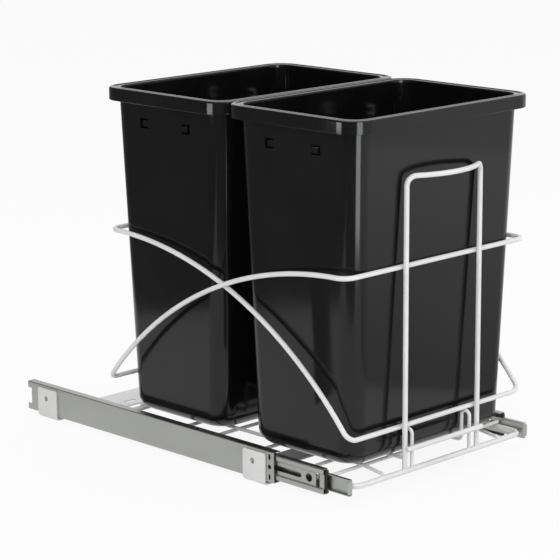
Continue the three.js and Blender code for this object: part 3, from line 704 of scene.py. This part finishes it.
def sink_dimple(bracket, node, sign):
    """A shallow cone is taken out of the tab's outer face, round the rivet."""
    middle = rivet_place(node)[0]
    bpy.ops.mesh.primitive_cone_add(
        vertices=48, radius1=DIMPLE_MOUTH, radius2=DIMPLE_SEAT, depth=DIMPLE_DEPTH,
        location=(sign * (DIMPLE_FACE_X - DIMPLE_DEPTH / 2), middle.y, middle.z),
        rotation=(0, -sign * math.pi / 2, 0),
    )
    bpy.ops.object.transform_apply(location=True, rotation=True, scale=True)
    cut_away(bracket, bpy.context.object)


def clinch_rivet(node, sign):
    """A short rivet whose outer end is set down round its middle by the punch."""
    middle, face_x = rivet_place(node)
    bpy.ops.mesh.primitive_cylinder_add(
        vertices=32, radius=RIVET_RADIUS, depth=RIVET_THICKNESS, location=(0, 0, 0)
    )
    rivet = bpy.context.object
    rivet.name = "clinched_" + node
    bpy.ops.object.mode_set(mode="EDIT")
    bpy.ops.mesh.select_mode(type="FACE")
    bpy.ops.mesh.select_all(action="DESELECT")
    bpy.ops.object.mode_set(mode="OBJECT")
    for face in rivet.data.polygons:
        face.select = face.normal.z > 0.9
    bpy.ops.object.mode_set(mode="EDIT")
    for thickness, depth in RIVET_INSETS:
        bpy.ops.mesh.inset(thickness=thickness, depth=depth)
    bpy.ops.object.mode_set(mode="OBJECT")
    rivet.rotation_euler = (0, sign * math.pi / 2, 0)
    rivet.location = (sign * (face_x - RIVET_THICKNESS / 2), middle.y, middle.z)
    bpy.ops.object.transform_apply(location=True, rotation=True, scale=True)
    bpy.ops.object.shade_smooth_by_angle(angle=math.radians(40))
    return rivet


for end in ("front", "rear"):
    bracket_name = f"{end}_floor_bracket"
    bracket = eased_copy(bracket_name, BRACKET_EDGE, 3)
    for hand, sign in (("left", -1), ("right", 1)):
        sink_dimple(bracket, f"{hand}_{end}_rivet", sign)
    dress(bracket, white_coat)
    take_place(bracket, bracket_name, "base")
    for hand, sign in (("left", -1), ("right", 1)):
        rivet_name = f"{hand}_{end}_rivet"
        rivet = clinch_rivet(rivet_name, sign)
        dress(rivet, zinc_plate)
        take_place(rivet, rivet_name, "base")


# ---- Studio --------------------------------------------------------------------------------
# A plain white sweep under soft lamps, with dark and pale cards that only show as reflections
# in the gloss, and the camera low in front of the left corner.
WHITE = (1, 1, 1, 1)
FLOOR_GREY = (0.86, 0.86, 0.86, 1)
ROOM_LIGHT = 0.55
FLOOR_WHITE_SHARE = 0.91

# Each card's name, middle, turn in degrees, width and height, and its glow at foot and head.
CARDS = (
    ("dark_flag", (-0.66, 0.60, 1.0), 45, (4.0, 2.0), (0.2, 0.2)),
    ("corner_flag", (-0.79, -0.50, 0.65), 133.4, (0.74, 1.3), (0.25, 0.25)),
    ("gap_flag", (-0.208, -0.085, 0.33), 160.4, (0.056, 0.46), (0.2, 0.2)),
    ("grey_flag", (1.10, -1.10, 1.0), 45, (3.4, 2.0), (0.9, 0.9)),
    ("low_grey_flag", (0.24, -0.44, 0.13), 45, (0.95, 0.46), (0.35, 1.1)),
    ("front_strip", (-0.53, -1.18, 0.5), -21, (0.45, 1.0), (7.0, 7.0)),
    ("rim_card", (-0.686, 0.089, 0.405), 62.7, (0.28, 0.045), (8.0, 8.0)),
)

# Each lamp's name, place, what it is aimed at, width and height, and its power in watts.
LAMPS = (
    ("top_softbox", (0.2, 0.0, 2.6), (0, 0, 0.2), (2.4, 2.4), 26),
    ("left_strip", (-1.9, -1.3, 1.2), (0, 0, 0.25), (0.35, 1.5), 14),
    ("right_softbox", (1.6, -2.2, 1.3), (0, 0, 0.25), (1.5, 1.5), 16),
)

CAMERA_PLACE = (-2.1126, -2.0203, 0.905)
CAMERA_AZIMUTH = math.radians(-45.01)
CAMERA_ELEVATION = math.radians(12.94)
CAMERA_ROLL = math.radians(-0.316)
CAMERA_LENS = 142.6
SENSOR_WIDTH = 36


class StudioNodes(Nodes):
    """A floor's, card's or world's own few nodes, in place of the ones that it starts with."""

    def __init__(self, owner):
        super().__init__(owner)
        self.tree.nodes.clear()

    def seen_ray(self):
        """1 for the camera's own rays and for those that gloss and glass send on."""
        camera, glossy, through = (
            self.node("ShaderNodeLightPath", output=f"Is {kind} Ray")
            for kind in ("Camera", "Glossy", "Transmission")
        )
        return camera.either(glossy).either(through)

    def blend(self, share, first, second):
        return self.node("ShaderNodeMixShader", {}, {0: share, 1: first, 2: second})

    def glow(self, kind, colour, strength):
        return self.node(kind, {}, {"Color": colour, "Strength": strength})

    def end(self, kind, shader):
        self.node(kind, {}, {"Surface": shader})


bpy.ops.mesh.primitive_circle_add(
    vertices=64, radius=30, fill_type="NGON", location=(0, 0, -0.0004)
)
sweep = bpy.context.object
sweep.name = "studio_floor"
bpy.ops.object.transform_apply(location=True, rotation=True, scale=True)
ground = bpy.data.materials.new("studio_white")
floor_nodes = StudioNodes(ground)
floor_nodes.end("ShaderNodeOutputMaterial", floor_nodes.blend(
    floor_nodes.seen_ray() * FLOOR_WHITE_SHARE,
    floor_nodes.node("ShaderNodeBsdfDiffuse", {}, {"Color": FLOOR_GREY}),
    floor_nodes.glow("ShaderNodeEmission", WHITE, 1.0),
))
dress(sweep, ground)

world = bpy.data.worlds.new("studio_world")
bpy.context.scene.world = world
world_nodes = StudioNodes(world)
world_nodes.end("ShaderNodeOutputWorld", world_nodes.blend(
    world_nodes.seen_ray(),
    world_nodes.glow("ShaderNodeBackground", WHITE, ROOM_LIGHT),
    world_nodes.glow("ShaderNodeBackground", WHITE, 1.0),
))


def seen_in_gloss(name, middle, facing, size, glows):
    """A standing card, seen only in reflections, that glows from its foot to its head."""
    bpy.ops.mesh.primitive_plane_add(size=1, location=(0, 0, 0))
    card = bpy.context.object
    card.name = name
    card.scale = (*size, 1)
    card.rotation_euler = (math.pi / 2, 0, math.radians(facing))
    card.location = middle
    bpy.ops.object.transform_apply(location=True, rotation=True, scale=True)
    paper = bpy.data.materials.new(name)
    card_nodes = StudioNodes(paper)
    place = card_nodes.node("ShaderNodeTexCoord", output="Object")
    height = card_nodes.node("ShaderNodeSeparateXYZ", {}, {0: place}, output="Z")
    foot_glow, head_glow = glows
    fade = card_nodes.node("ShaderNodeMapRange", {}, {
        "Value": height,
        "From Min": middle[2] - size[1] / 2, "From Max": middle[2] + size[1] / 2,
        "To Min": foot_glow, "To Max": head_glow,
    })
    shine = card_nodes.glow("ShaderNodeEmission", WHITE, fade)
    card_nodes.end("ShaderNodeOutputMaterial", shine)
    dress(card, paper)
    card.visible_camera = False
    card.visible_diffuse = False
    card.visible_shadow = False
    card.visible_transmission = False


def soft_lamp(name, place, aim, size, power):
    data = bpy.data.lights.new(name, "AREA")
    data.shape = "RECTANGLE"
    data.size, data.size_y = size
    data.energy = power
    lamp = bpy.data.objects.new(name, data)
    bpy.context.scene.collection.objects.link(lamp)
    lamp.location = place
    lamp.rotation_euler = (Vector(aim) - Vector(place)).to_track_quat("-Z", "Y").to_euler()


for card in CARDS:
    seen_in_gloss(*card)
for lamp in LAMPS:
    soft_lamp(*lamp)

lens = bpy.data.cameras.new("photo_camera")
lens.sensor_width = SENSOR_WIDTH
lens.lens = CAMERA_LENS
camera = bpy.data.objects.new("photo_camera", lens)
bpy.context.scene.collection.objects.link(camera)
camera.location = CAMERA_PLACE
look = (
    Matrix.Rotation(CAMERA_AZIMUTH, 3, "Z")
    @ Matrix.Rotation(math.pi / 2 - CAMERA_ELEVATION, 3, "X")
    @ Matrix.Rotation(CAMERA_ROLL, 3, "Z")
)
camera.rotation_euler = look.to_euler()
bpy.context.scene.camera = camera
bpy.context.scene.view_settings.view_transform = "Standard"
